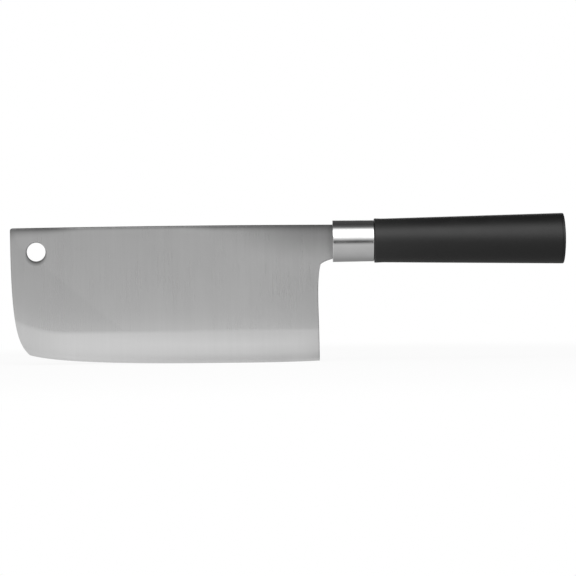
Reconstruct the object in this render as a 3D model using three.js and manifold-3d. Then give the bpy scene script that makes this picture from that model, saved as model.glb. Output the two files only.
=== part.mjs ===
// Kitchen cleaver: a sheet-steel blade with a stick tang, a polished steel ferrule and a moulded handle.
// Millimetres, +Z up. The blade lies in the XZ plane, its edge touches z = 0 and the handle points to +X.
// Inside this file, places along X are counted from the ferrule's face and heights from the handle axis.

import * as THREE from 'three';
import { mergeVertices } from 'three/addons/utils/BufferGeometryUtils.js';
import Module from 'manifold-3d';

const wasm = await Module();
wasm.setup();

// Clearances between pieces
const seatGap = 0.3; // where one piece seats against another
const slotGap = 0.25; // round the neck in its slots, and round the tang in its pocket
const pinGap = 0.15; // round the dowel pins

// Blade sheet and its outline
const bladeThickness = 2;
const bladeReach = 177.4; // ferrule face to tip
const bladeHeight = 75.85; // crown of the spine to the lowest point of the edge
const heelSetback = 7.8; // ferrule face to heel
const spineCrown = 9.55; // crown of the spine above the handle axis
const spineFallToNeck = 0.5;
const spineFallToTip = 0.3;
const spineRadius = 0.8; // rounding along both edges of the spine
const tipTopRadius = 1.6; // upper front corner
const tipCornerInset = 10.1; // lower front corner, behind the tip
const tipCornerRise = 5.6; // lower front corner, above the lowest point of the edge
const frontPull = 47; // how far below the handle axis the front still aims straight down
const tipSweepRun = 6.3; // pull of the front curve at the lower front corner
const tipSweepRise = 5.9;
const bellyRun = 18.6; // how far the belly runs on at the slope of the lower front corner
const bellyFall = 5.5;
const edgeLowSetback = 45; // ferrule face to the lowest point of the edge
const edgeFlatRun = 45; // length of the flat stretch in front of the lowest point
const heelRise = 0.65; // heel above the lowest point of the edge
const heelHollow = 0.4; // how far the back of the heel is hollowed
const choilHeight = 20.2; // height of the curve that leads from the heel into the neck
const choilCornerDrop = 2.8; // inner corner of that curve, below the neck and behind the hollow
const choilCornerInset = 1.6;
const choilPull = 5.4; // how far below the inner corner the back of the heel still aims straight up
const neckSweepRun = 2; // pull of the curve from the inner corner to the neck
const neckSweepRise = 1.7;
const neckDrop = 9.8; // underside of the neck below the handle axis

// Bevels ground on both sides of the blade
const grindHeight = 17.5; // grind line above the lowest point of the edge
const grindTipRun = 30; // stretch at the tip over which the grind line turns up
const grindTipRise = 8;
const bevelEdgeThickness = 0.5; // sheet left at the edge by the main bevel
const honedHeight = 1.3; // height of the small honed bevel
const edgeThickness = 0.24; // sheet left at the honed edge

// Hanging hole
const hangHoleDiameter = 10.2;
const hangHoleInset = 14.25; // behind the tip
const hangHoleDrop = 13.45; // below the crown of the spine
const hangHoleChamfer = 0.5;

// Stick tang
const tangLength = 80; // behind the shoulder of the neck
const tangHeight = 12;
const tangTipHeight = 9;
const shoulderFillet = 1.5;

// Ferrule
const ferruleLength = 22.6;
const ferruleFrontDiameter = 23.05;
const ferruleRearDiameter = 22.75;
const ferruleWall = 0.8;
const ferruleFace = 1; // thickness of its front wall
const ferruleChamfer = 0.3;

// Seal behind the ferrule's front wall
const sealThickness = 1.7;

// Two-part core clamped on the tang
const coreRearDiameter = 17;
const coreTail = 8; // length past the end of the tang
const coreChamfer = 0.8;
const ribCount = 3;
const ribPitch = 8;
const ribWidth = 3;
const ribHeight = 0.6;
const ribFlank = 0.6; // run of each sloping flank

// Dowel pins through the core and the tang
const pinDiameter = 4;
const pinSink = 0.6; // below the core's surface
const pinFrontSetback = 12; // behind the front of the grip
const pinRearInset = 10; // in front of the end of the tang

// Grip
const gripLength = 102.45; // front face to the seam at the butt
const gripFrontDiameter = 24.1;
const gripRearDiameter = 27.75;
const gripLipHeight = 0.15; // slight flare at the front
const gripLipLength = 5;
const gripEdgeRadius = 0.5;
const socketDiameter = 20.4; // bore at the butt, for the end cap
const socketDepth = 9;

// End cap
const capRim = 0.2; // straight rim behind the seam
const capEdgeRadius = 1.3;
const capDome = 1; // height of the dome
const capSpigotLength = 7;
const capWall = 2.2;

// Facets
const roundSides = 48;
const smallRoundSides = 24;
const curveSegments = 12;
const filletSegments = 4;
const bevelSteps = 36;
const cutMargin = 3; // how far a cutting tool reaches past what it cuts
const weldDistance = 1e-4;

// Places that several pieces share
const tipX = -bladeReach;
const heelX = -heelSetback;
const edgeLowZ = spineCrown - bladeHeight;
const neckTop = spineCrown - spineFallToNeck;
const tipTop = spineCrown - spineFallToTip;
const heelZ = edgeLowZ + heelRise;
const tipCorner = new THREE.Vector2(tipX + tipCornerInset, edgeLowZ + tipCornerRise);
const edgeLow = new THREE.Vector2(-edgeLowSetback, edgeLowZ);
const sealFront = ferruleFace + seatGap;
const neckEnd = sealFront + sealThickness;
const coreFront = neckEnd + seatGap;
const tangEnd = neckEnd + tangLength;
const coreEnd = tangEnd + coreTail;
const gripFront = ferruleLength + seatGap;
const gripSeam = gripFront + gripLength;
const pinFrontX = gripFront + pinFrontSetback;
const pinRearX = tangEnd - pinRearInset;
const ribsFront = (pinFrontX + pinRearX - (ribCount - 1) * ribPitch) / 2;
const ferruleBore = ferruleRearDiameter / 2 - ferruleWall;
const spigotRadius = ferruleBore - seatGap;
const coreRearRadius = coreRearDiameter / 2;
const gripBore = coreRearRadius + seatGap;
const capFront = gripSeam + seatGap;
const capRimEnd = capFront + capRim;
const capRadius = gripRearDiameter / 2;
const buttX = capRimEnd + capEdgeRadius + capDome;

// Materials
const satinSteel = new THREE.MeshStandardMaterial({ color: 0xa6a6a6, roughness: 0.38, metalness: 1 });
const polishedSteel = new THREE.MeshStandardMaterial({ color: 0xd6d6d6, roughness: 0.08, metalness: 1 });
const blackMoulding = new THREE.MeshStandardMaterial({ color: 0x262626, roughness: 0.5, metalness: 0 });
const greyMoulding = new THREE.MeshStandardMaterial({ color: 0x4a4a4a, roughness: 0.6, metalness: 0 });
const sealRubber = new THREE.MeshStandardMaterial({ color: 0x1c1c1c, roughness: 0.8, metalness: 0 });

// A closed geometry as a solid, with its faces turned outwards.
function solidOf(geometry) {
  const bare = geometry.clone();
  bare.deleteAttribute('normal');
  bare.deleteAttribute('uv');
  const welded = mergeVertices(bare, weldDistance);
  const vertProperties = welded.attributes.position.array;
  const triVerts = new Uint32Array(welded.index.array);
  const made = new wasm.Manifold(new wasm.Mesh({ numProp: 3, vertProperties, triVerts }));
  if (made.volume() > 0) return made;
  for (let i = 0; i < triVerts.length; i += 3) {
    triVerts.subarray(i, i + 2).reverse();
  }
  return new wasm.Manifold(new wasm.Mesh({ numProp: 3, vertProperties, triVerts }));
}

function geometryOf(solid) {
  const mesh = solid.getMesh();
  const geometry = new THREE.BufferGeometry();
  geometry.setAttribute('position', new THREE.BufferAttribute(mesh.vertProperties, 3));
  geometry.setIndex(new THREE.BufferAttribute(mesh.triVerts, 1));
  geometry.computeVertexNormals();
  return geometry;
}

function piece(name, solid, material) {
  const mesh = new THREE.Mesh(geometryOf(solid), material);
  mesh.name = name;
  return mesh;
}

// A side-view outline cut from sheet that is centred on the blade's mid-plane.
function sheet(outline, thickness) {
  const options = { depth: thickness, bevelEnabled: false, curveSegments };
  const geometry = new THREE.ExtrudeGeometry(outline, options);
  return solidOf(geometry.translate(0, 0, -thickness / 2).rotateX(Math.PI / 2));
}

// A profile of [radius, place along X] pairs turned about the handle axis.
function turned(profile, sides = roundSides) {
  const points = profile.map(([radius, along]) => new THREE.Vector2(radius, along));
  return solidOf(new THREE.LatheGeometry(points, sides).rotateZ(-Math.PI / 2));
}

// A cylinder across the blade, with its middle on the mid-plane.
function crossCylinder(diameter, length, x, z = 0) {
  const geometry = new THREE.CylinderGeometry(diameter / 2, diameter / 2, length, smallRoundSides);
  return solidOf(geometry.translate(x, 0, z));
}

function block(fromX, toX, fromY, toY, fromZ, toZ) {
  const geometry = new THREE.BoxGeometry(toX - fromX, toY - fromY, toZ - fromZ);
  return solidOf(geometry.translate((fromX + toX) / 2, (fromY + toY) / 2, (fromZ + toZ) / 2));
}

// A section of [out, up] pairs carried along a side-view path, on the blade's left (-1) or right (1) side.
function swept(section, path, steps, side) {
  const outline = section.map(([out, up]) => new THREE.Vector2(out, up));
  const positions = [];
  for (let step = 0; step <= steps; step += 1) {
    const at = path.getPointAt(step / steps);
    const along = path.getTangentAt(step / steps);
    const up = new THREE.Vector2(-along.y, along.x).multiplyScalar(Math.sign(along.x));
    for (const point of outline) {
      positions.push(at.x + up.x * point.y, side * point.x, at.y + up.y * point.y);
    }
  }
  const count = outline.length;
  const last = steps * count;
  const triangles = [];
  for (let start = 0; start < last; start += count) {
    for (let i = 0; i < count; i += 1) {
      const next = (i + 1) % count;
      triangles.push(start + i, start + next, start + count + i);
      triangles.push(start + next, start + count + next, start + count + i);
    }
  }
  for (const [a, b, c] of THREE.ShapeUtils.triangulateShape(outline, [])) {
    triangles.push(c, b, a, last + a, last + b, last + c);
  }
  const geometry = new THREE.BufferGeometry();
  geometry.setAttribute('position', new THREE.Float32BufferAttribute(positions, 3));
  geometry.setIndex(triangles);
  return solidOf(geometry);
}

// Points of a quarter round, from angle start to angle end, as [first, second] pairs.
function quarterRound(centreA, centreB, radius, start, end) {
  const points = [];
  for (let i = 0; i <= filletSegments; i += 1) {
    const angle = start + ((end - start) * i) / filletSegments;
    points.push([centreA + radius * Math.cos(angle), centreB + radius * Math.sin(angle)]);
  }
  return points;
}

// Curves of the side view
const spineCurve = new THREE.QuadraticBezierCurve(
  new THREE.Vector2(0, neckTop),
  new THREE.Vector2(tipX / 2, spineCrown + (spineFallToNeck + spineFallToTip) / 2),
  new THREE.Vector2(tipX, tipTop),
);
const bellyCurve = new THREE.CubicBezierCurve(
  tipCorner,
  new THREE.Vector2(tipCorner.x + bellyRun, tipCorner.y - bellyFall),
  new THREE.Vector2(edgeLow.x - edgeFlatRun, edgeLow.y),
  edgeLow,
);
const heelEdgeCurve = new THREE.QuadraticBezierCurve(
  edgeLow,
  new THREE.Vector2((edgeLow.x + heelX) / 2, edgeLow.y),
  new THREE.Vector2(heelX, heelZ),
);

// A straight run that carries a curve on past its end.
function runOn(curve, end, length) {
  const from = curve.getPoint(end);
  const along = curve.getTangent(end).multiplyScalar(end === 0 ? -length : length);
  const to = from.clone().add(along);
  return end === 0 ? new THREE.LineCurve(to, from) : new THREE.LineCurve(from, to);
}

function pathOf(...curves) {
  const path = new THREE.CurvePath();
  curves.forEach((curve) => path.add(curve));
  return path;
}

// Tang, from the neck's shoulder to its rounded end. grow widens it all round, for its pocket.
function tangOutline(shape, grow) {
  const half = tangHeight / 2 + grow;
  const tipHalf = tangTipHeight / 2 + grow;
  const end = tangEnd + grow;
  shape.lineTo(neckEnd, -half - shoulderFillet);
  shape.quadraticCurveTo(neckEnd, -half, neckEnd + shoulderFillet, -half);
  shape.lineTo(end - tipHalf, -tipHalf);
  shape.absarc(end - tipHalf, 0, tipHalf, -Math.PI / 2, Math.PI / 2, false);
  shape.lineTo(neckEnd + shoulderFillet, half);
  shape.quadraticCurveTo(neckEnd, half, neckEnd, half + shoulderFillet);
}

function bladeOutline() {
  const outline = new THREE.Shape();
  outline.moveTo(0, neckTop);
  outline.quadraticCurveTo(spineCurve.v1.x, spineCurve.v1.y, tipX + tipTopRadius, tipTop);
  outline.quadraticCurveTo(tipX, tipTop, tipX, tipTop - tipTopRadius);
  outline.bezierCurveTo(
    tipX,
    -frontPull,
    tipCorner.x - tipSweepRun,
    tipCorner.y + tipSweepRise,
    tipCorner.x,
    tipCorner.y,
  );
  outline.bezierCurveTo(
    bellyCurve.v1.x,
    bellyCurve.v1.y,
    bellyCurve.v2.x,
    bellyCurve.v2.y,
    edgeLow.x,
    edgeLow.y,
  );
  outline.quadraticCurveTo(heelEdgeCurve.v1.x, heelEdgeCurve.v1.y, heelX, heelZ);
  const hollowX = heelX - heelHollow;
  const choilStart = -neckDrop - choilHeight;
  const hollowTurn = (heelZ + 2 * choilStart) / 3;
  const cornerX = hollowX + choilCornerInset;
  const cornerZ = -neckDrop - choilCornerDrop;
  outline.bezierCurveTo(heelX, hollowTurn, hollowX, hollowTurn, hollowX, choilStart);
  outline.quadraticCurveTo(hollowX, cornerZ - choilPull, cornerX, cornerZ);
  outline.quadraticCurveTo(cornerX + neckSweepRun, cornerZ + neckSweepRise, 0, -neckDrop);
  outline.lineTo(neckEnd, -neckDrop);
  tangOutline(outline, 0);
  outline.lineTo(neckEnd, neckTop);
  outline.closePath();
  return outline;
}

// Main bevel: the sheet thins from the grind line down to the edge.
function mainBevelTool(side) {
  const half = bladeThickness / 2;
  const thinning = half - bevelEdgeThickness / 2;
  const overrun = (cutMargin + grindHeight) / grindHeight;
  const section = [
    [half + thinning * (cutMargin / grindHeight), cutMargin],
    [half - thinning * overrun, -grindHeight * overrun],
    [half + cutMargin, -grindHeight * overrun],
    [half + cutMargin, cutMargin],
  ];
  const grindZ = edgeLowZ + grindHeight;
  const turnUp = new THREE.QuadraticBezierCurve(
    new THREE.Vector2(tipX + grindTipRun, grindZ),
    new THREE.Vector2(tipX + grindTipRun / 2, grindZ),
    new THREE.Vector2(tipX, grindZ + grindTipRise),
  );
  const straight = new THREE.LineCurve(new THREE.Vector2(cutMargin, grindZ), turnUp.v0);
  return swept(section, pathOf(straight, turnUp, runOn(turnUp, 1, cutMargin)), bevelSteps, side);
}

// Honed bevel: a steeper strip along the cutting edge itself.
function honedBevelTool(side) {
  const half = edgeThickness / 2;
  const grindDrop = (bladeThickness - bevelEdgeThickness) / 2 / grindHeight;
  const honedHalf = bevelEdgeThickness / 2 + grindDrop * honedHeight;
  const slope = (honedHalf - half) / honedHeight;
  const section = [
    [honedHalf + slope * honedHeight, 2 * honedHeight],
    [half - slope * honedHeight, -honedHeight],
    [half + bladeThickness, -honedHeight],
    [half + bladeThickness, 2 * honedHeight],
  ];
  const path = pathOf(
    runOn(bellyCurve, 0, tipCornerInset),
    bellyCurve,
    heelEdgeCurve,
    runOn(heelEdgeCurve, 1, cutMargin),
  );
  return swept(section, path, bevelSteps, side);
}

// Rounding along one edge of the spine and of the neck behind it.
function spineRoundTool(side) {
  const half = bladeThickness / 2;
  const section = [
    ...quarterRound(half - spineRadius, -spineRadius, spineRadius, Math.PI / 2, 0),
    [half + cutMargin, -spineRadius],
    [half + cutMargin, cutMargin],
    [half - spineRadius, cutMargin],
  ];
  const neckRun = new THREE.LineCurve(new THREE.Vector2(neckEnd + cutMargin, neckTop), spineCurve.v0);
  return swept(section, pathOf(neckRun, spineCurve, runOn(spineCurve, 1, cutMargin)), bevelSteps, side);
}

// Hanging hole with a chamfer on both faces.
function hangHoleTool() {
  const half = bladeThickness / 2;
  const bore = hangHoleDiameter / 2;
  const wide = bore + hangHoleChamfer + cutMargin;
  const profile = [
    [0, -half - cutMargin],
    [wide, -half - cutMargin],
    [bore, -half + hangHoleChamfer],
    [bore, half - hangHoleChamfer],
    [wide, half + cutMargin],
    [0, half + cutMargin],
  ];
  const points = profile.map(([radius, across]) => new THREE.Vector2(radius, across));
  const geometry = new THREE.LatheGeometry(points, roundSides);
  return solidOf(geometry.translate(tipX + hangHoleInset, 0, spineCrown - hangHoleDrop));
}

function pinBores(diameter, length) {
  return crossCylinder(diameter, length, pinFrontX).add(crossCylinder(diameter, length, pinRearX));
}

function makeBlade() {
  let blade = sheet(bladeOutline(), bladeThickness);
  for (const side of [-1, 1]) {
    for (const bevelTool of [mainBevelTool, honedBevelTool, spineRoundTool]) {
      blade = blade.subtract(bevelTool(side));
    }
  }
  blade = blade.subtract(hangHoleTool());
  return blade.subtract(pinBores(pinDiameter + 2 * pinGap, bladeThickness + cutMargin));
}

// Slot round the neck, through whatever stands between two places along X.
function neckSlot(fromX, toX) {
  const half = bladeThickness / 2 + slotGap;
  return block(fromX, toX, -half, half, -neckDrop - slotGap, neckTop + slotGap);
}

// Drawn steel cup with its slotted face towards the blade.
function makeFerrule() {
  const front = ferruleFrontDiameter / 2;
  const rear = ferruleRearDiameter / 2;
  const cup = turned([
    [0, 0],
    [front - ferruleChamfer, 0],
    [front, ferruleChamfer],
    [rear, ferruleLength - ferruleChamfer],
    [rear - ferruleChamfer, ferruleLength],
    [ferruleBore, ferruleLength],
    [ferruleBore, ferruleFace],
    [0, ferruleFace],
  ]);
  return cup.subtract(neckSlot(-cutMargin, ferruleFace + cutMargin));
}

function makeNeckSeal() {
  const radius = ferruleBore - seatGap;
  const disc = turned([
    [0, sealFront],
    [radius, sealFront],
    [radius, sealFront + sealThickness],
    [0, sealFront + sealThickness],
  ]);
  return disc.subtract(neckSlot(sealFront - cutMargin, sealFront + sealThickness + cutMargin));
}

// Keying ribs round the core, or with a gap the grooves that they fill in the grip, from front to rear.
function ribProfile(baseRadius, gap) {
  const points = [];
  for (let i = 0; i < ribCount; i += 1) {
    const front = ribsFront + i * ribPitch - ribWidth / 2 - gap;
    const rear = front + ribWidth + 2 * gap;
    points.push([baseRadius, front]);
    points.push([baseRadius + ribHeight, front + ribFlank]);
    points.push([baseRadius + ribHeight, rear - ribFlank]);
    points.push([baseRadius, rear]);
  }
  return points;
}

// One half of the core: a spigot for the ferrule in front, a ribbed shank for the grip behind.
function makeCoreHalf(side) {
  const core = turned([
    [0, coreFront],
    [spigotRadius - coreChamfer, coreFront],
    [spigotRadius, coreFront + coreChamfer],
    [spigotRadius, ferruleLength],
    [coreRearRadius, ferruleLength],
    ...ribProfile(coreRearRadius, 0),
    [coreRearRadius, coreEnd - coreChamfer],
    [coreRearRadius - coreChamfer, coreEnd],
    [0, coreEnd],
  ]);
  const pocket = new THREE.Shape();
  pocket.moveTo(neckEnd - cutMargin, -neckDrop);
  pocket.lineTo(neckEnd, -neckDrop);
  tangOutline(pocket, slotGap);
  pocket.lineTo(neckEnd, neckTop);
  pocket.lineTo(neckEnd - cutMargin, neckTop);
  pocket.closePath();
  const near = (side * seatGap) / 2;
  const far = side * ferruleFrontDiameter;
  const reach = ferruleFrontDiameter;
  const halfSpace = block(0, coreEnd + cutMargin, Math.min(near, far), Math.max(near, far), -reach, reach);
  return core
    .intersect(halfSpace)
    .subtract(sheet(pocket, bladeThickness + 2 * slotGap))
    .subtract(pinBores(pinDiameter + 2 * pinGap, coreRearDiameter + cutMargin));
}

function makePin(x) {
  return crossCylinder(pinDiameter, coreRearDiameter - 2 * pinSink, x);
}

// Moulded sleeve: flared outside, keyed to the core inside, with a wider bore at the butt for the end cap.
function makeGrip() {
  const front = gripFrontDiameter / 2;
  const socket = socketDiameter / 2;
  const socketFloor = gripSeam - socketDepth;
  return turned([
    [gripBore, gripFront],
    ...quarterRound(
      front + gripLipHeight - gripEdgeRadius,
      gripFront + gripEdgeRadius,
      gripEdgeRadius,
      -Math.PI / 2,
      0,
    ),
    [front, gripFront + gripLipLength],
    [capRadius, gripSeam],
    [socket, gripSeam],
    [socket, socketFloor],
    [gripBore, socketFloor],
    ...ribProfile(gripBore, seatGap).reverse(),
    [gripBore, gripFront],
  ]);
}

// Domed cap with a hollow spigot that plugs the butt of the grip.
function makeEndCap() {
  const spigot = socketDiameter / 2 - seatGap;
  const spigotFront = capFront - capSpigotLength;
  const domeRim = capRadius - capEdgeRadius;
  const domeRadius = (domeRim ** 2 + capDome ** 2) / (2 * capDome);
  const domeCentre = buttX - domeRadius;
  const domeAngle = Math.asin(domeRim / domeRadius);
  const dome = [];
  for (let i = 1; i <= filletSegments; i += 1) {
    const angle = domeAngle * (1 - i / filletSegments);
    dome.push([domeRadius * Math.sin(angle), domeCentre + domeRadius * Math.cos(angle)]);
  }
  return turned([
    [0, capFront],
    [spigot - capWall, capFront],
    [spigot - capWall, spigotFront],
    [spigot, spigotFront],
    [spigot, capFront],
    [capRadius, capFront],
    ...quarterRound(domeRim, capRimEnd, capEdgeRadius, 0, Math.PI / 2),
    ...dome,
  ]);
}

const cleaver = new THREE.Group();
cleaver.add(
  piece('blade', makeBlade(), satinSteel),
  piece('ferrule', makeFerrule(), polishedSteel),
  piece('neck_seal', makeNeckSeal(), sealRubber),
  piece('core_half_left', makeCoreHalf(-1), greyMoulding),
  piece('core_half_right', makeCoreHalf(1), greyMoulding),
  piece('core_pin_front', makePin(pinFrontX), satinSteel),
  piece('core_pin_rear', makePin(pinRearX), satinSteel),
  piece('grip', makeGrip(), blackMoulding),
  piece('end_cap', makeEndCap(), blackMoulding),
);

// The origin lies under the middle of the whole length, on the level of the cutting edge.
const assembly = new THREE.Group();
cleaver.position.set(-(tipX + buttX) / 2, 0, -edgeLowZ);
assembly.add(cleaver);

export default assembly;
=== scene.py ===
import math
import bmesh
import bpy
import numpy as np
from mathutils import Matrix, Vector
from mathutils.geometry import delaunay_2d_cdt


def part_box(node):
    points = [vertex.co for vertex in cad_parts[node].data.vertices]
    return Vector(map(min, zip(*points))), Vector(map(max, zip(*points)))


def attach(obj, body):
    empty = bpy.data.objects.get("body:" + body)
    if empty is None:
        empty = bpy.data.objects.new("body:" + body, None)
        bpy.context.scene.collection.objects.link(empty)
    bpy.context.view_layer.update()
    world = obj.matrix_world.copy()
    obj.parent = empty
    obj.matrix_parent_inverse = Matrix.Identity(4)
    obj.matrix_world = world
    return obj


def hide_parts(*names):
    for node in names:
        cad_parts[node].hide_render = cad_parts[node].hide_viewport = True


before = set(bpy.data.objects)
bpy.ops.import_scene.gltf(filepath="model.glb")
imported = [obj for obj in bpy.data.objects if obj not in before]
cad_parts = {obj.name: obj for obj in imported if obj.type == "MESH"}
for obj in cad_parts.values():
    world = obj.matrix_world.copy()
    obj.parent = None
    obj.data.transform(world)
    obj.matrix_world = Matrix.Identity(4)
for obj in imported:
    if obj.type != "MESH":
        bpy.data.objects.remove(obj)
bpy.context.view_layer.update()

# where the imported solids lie, in metres
mm = 0.001
bladeLow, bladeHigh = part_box("blade")
ferruleLow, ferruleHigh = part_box("ferrule")
gripLow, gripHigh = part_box("grip")
capLow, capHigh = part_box("end_cap")
handleAxis = (gripLow.z + gripHigh.z) / 2
print("frame:", len(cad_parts), "nodes, handle axis", round(handleAxis / mm, 2), "mm up")


# Sizes of the pieces are in mm, counted along x from the ferrule's face and along z from the handle axis.
def alongMm(x):
    return (x - ferruleLow.x) / mm


def aboveMm(z):
    return (z - handleAxis) / mm


def addObject(name, data):
    added = bpy.data.objects.new(name, data)
    bpy.context.scene.collection.objects.link(added)
    return added


def wear(piece, finish):
    piece.data.materials.clear()
    piece.data.materials.append(finish)


# Small helpers for node trees: a socket takes a link or a plain value

def feed(tree, socket, value):
    if isinstance(value, bpy.types.NodeSocket):
        tree.links.new(value, socket)
    else:
        socket.default_value = value


def addNode(tree, kind, wires=None, **settings):
    node = tree.nodes.new(kind)
    for key, value in settings.items():
        setattr(node, key, value)
    for socket, value in (wires or {}).items():
        feed(tree, node.inputs[socket], value)
    return node


def calc(tree, operation, *values):
    return addNode(tree, "ShaderNodeMath", dict(enumerate(values)), operation=operation).outputs[0]


def product(tree, first, *others):
    for other in others:
        first = calc(tree, "MULTIPLY", first, other)
    return first


def total(tree, first, *others):
    for other in others:
        first = calc(tree, "ADD", first, other)
    return first


def ranged(tree, value, fromLow, fromHigh, toLow, toHigh, style="LINEAR"):
    wires = dict(enumerate((value, fromLow, fromHigh, toLow, toHigh)))
    return addNode(tree, "ShaderNodeMapRange", wires, interpolation_type=style).outputs[0]


def partsOf(tree, vector):
    return addNode(tree, "ShaderNodeSeparateXYZ", {0: vector}).outputs


def lengthOf(tree, vector):
    return addNode(tree, "ShaderNodeVectorMath", {0: vector}, operation="LENGTH").outputs["Value"]


def objectPlace(tree):
    return addNode(tree, "ShaderNodeTexCoord").outputs["Object"]


def attributeOf(tree, name):
    return addNode(tree, "ShaderNodeAttribute", attribute_name=name).outputs["Fac"]


def grey(tree, value):
    return addNode(tree, "ShaderNodeCombineColor", {0: value, 1: value, 2: value}).outputs[0]


noiseSpan = (0.3, 0.7)           # nearly all noise lies between these values
fineDetail = 3.0                 # octaves of the finest noise


# Noise whose spots measure the given mm along x, y and z of the piece.
def spots(tree, sizes, turn=(0, 0, 0), detail=2.0):
    fit = addNode(tree, "ShaderNodeMapping", {
        "Vector": objectPlace(tree),
        "Rotation": turn,
        "Scale": [1 / (size * mm) for size in sizes],
    })
    wires = {"Vector": fit.outputs["Vector"], "Scale": 1, "Detail": detail}
    return addNode(tree, "ShaderNodeTexNoise", wires).outputs[0]


def varied(tree, noise, low, high):
    return ranged(tree, noise, *noiseSpan, low, high)


# A value that noise swings up and down by the spread.
def swing(tree, noise, middle, spread):
    return varied(tree, noise, middle - spread, middle + spread)


def newFinish(name):
    finish = bpy.data.materials.new(name)
    finish.use_nodes = True
    return finish, finish.node_tree, finish.node_tree.nodes["Principled BSDF"]


def setSurface(tree, shader, tone, rough, height, depth):
    feed(tree, shader.inputs["Base Color"], grey(tree, tone))
    feed(tree, shader.inputs["Roughness"], rough)
    bump = addNode(tree, "ShaderNodeBump", {"Distance": depth * mm, "Height": height})
    feed(tree, shader.inputs["Normal"], bump.outputs["Normal"])


# Satin steel with upright grind lines, and the coarser, brighter ground bevel along the edge; its tone also
# carries painted shade and a painted highlight
bladeLook = {
    "flatTone": 0.49,
    "groundTone": 0.605,
    "honedTone": 0.56,
    "leadLightTone": 1.12,            # painted highlight: lift of the tone next to the grind line
    "bevelShadeTone": 0.66,           # share of the tone left in the painted shade along the edge
    "dullShadeTone": 0.25,            # share of the tone left below the spine and the hole, where the dull steel also carries painted shade
    "neckShadeTone": 0.50,            # share of the tone left in the painted shade at the neck
    "neckShadeReach": (70.0, 24.0),   # size of that patch along x and z
    "flatRoughness": 0.30,
    "groundRoughness": 0.42,
    "dullRoughness": 0.15,       # added where the steel is dull
    "wornRoughness": 0.08,       # taken off where rims are rubbed
    "grain": (0.22, 4.0, 34.0),
    "grainTone": 0.015,          # spreads of the noise, here and below
    "grainRoughness": 0.03,
    "grainDepth": 0.012,
    "streaks": (2.6, 9.0, 90.0),
    "streakTone": 0.01,
    "streakHeight": 0.15,        # against the grain's
    "clouds": (28.0, 28.0, 28.0),
    "cloudRoughness": 0.02,
    "scratches": (0.16, 5.0, 14.0),
    "scratchLean": 0.5,          # in radians
    "scratchSpan": (0.70, 0.78), # noise from which a scratch starts, and where it has its full depth
    "scratchHeight": -0.5,
}


# Share of the tone that is left in the painted shade under the spine at the neck.
def neckPaintedShade(tree, look):
    reachX, reachZ = look["neckShadeReach"]
    fit = addNode(tree, "ShaderNodeMapping", {
        "Vector": objectPlace(tree),
        "Location": (ferruleLow.x, 0, bladeHigh.z),
        "Scale": (reachX * mm, 1.0, reachZ * mm),
    }, vector_type="TEXTURE")
    away = lengthOf(tree, fit.outputs["Vector"])
    return ranged(tree, away, 0, 1, look["neckShadeTone"], 1, "SMOOTHSTEP")


def bladeFinish(look):
    finish, tree, shader = newFinish("satinBladeSteel")
    grain = spots(tree, look["grain"], detail=fineDetail)
    streaks = spots(tree, look["streaks"])
    clouds = spots(tree, look["clouds"])
    scratches = spots(tree, look["scratches"], turn=(0, look["scratchLean"], 0))
    scratches = ranged(tree, scratches, *look["scratchSpan"], 0, 1)
    ground, honed, worn, dullAndShade, leadLight, bevelShade = [
        attributeOf(tree, name) for name in ("ground", "honed", "worn", "dullAndShade", "leadLight", "bevelShade")
    ]
    tone = product(
        tree,
        total(
            tree,
            ranged(tree, ground, 0, 1, look["flatTone"], look["groundTone"]),
            calc(tree, "MULTIPLY", honed, look["honedTone"] - look["groundTone"]),
        ),
        ranged(tree, leadLight, 0, 1, 1, look["leadLightTone"]),
        ranged(tree, bevelShade, 0, 1, 1, look["bevelShadeTone"]),
        # painted shade under the spine at the neck
        neckPaintedShade(tree, look),
        # painted shade below the spine and the hole
        ranged(tree, dullAndShade, 0, 1, 1, look["dullShadeTone"]),
        swing(tree, streaks, 1, look["streakTone"]),
        swing(tree, grain, 1, look["grainTone"]),
    )
    rough = total(
        tree,
        ranged(tree, ground, 0, 1, look["flatRoughness"], look["groundRoughness"]),
        swing(tree, grain, 0, look["grainRoughness"]),
        swing(tree, clouds, 0, look["cloudRoughness"]),
        calc(tree, "MULTIPLY", dullAndShade, look["dullRoughness"]),
        calc(tree, "MULTIPLY", worn, -look["wornRoughness"]),
    )
    height = total(
        tree,
        grain,
        calc(tree, "MULTIPLY", streaks, look["streakHeight"]),
        calc(tree, "MULTIPLY", scratches, look["scratchHeight"]),
    )
    setSurface(tree, shader, tone, rough, height, look["grainDepth"])
    shader.inputs["Metallic"].default_value = 1
    return finish


# Polished tube steel with faint turning lines round it
ferruleLook = {
    "tone": 0.66,
    "roughness": 0.08,
    "lines": (0.12, 6.0, 6.0),
    "lineDepth": 0.0012,
    "lineRoughness": (-0.01, 0.015),
    "smears": (9.0, 6.0, 6.0),
    "smearTone": (0.97, 1.02),
    "smearRoughness": 0.04,
}


def turnedSteelFinish(name, look):
    finish, tree, shader = newFinish(name)
    lines = spots(tree, look["lines"], detail=fineDetail)
    smears = spots(tree, look["smears"])
    tone = varied(tree, smears, *(look["tone"] * share for share in look["smearTone"]))
    rough = total(
        tree,
        varied(tree, smears, look["roughness"], look["roughness"] + look["smearRoughness"]),
        varied(tree, lines, *look["lineRoughness"]),
    )
    setSurface(tree, shader, tone, rough, lines, look["lineDepth"])
    shader.inputs["Metallic"].default_value = 1
    return finish


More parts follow.
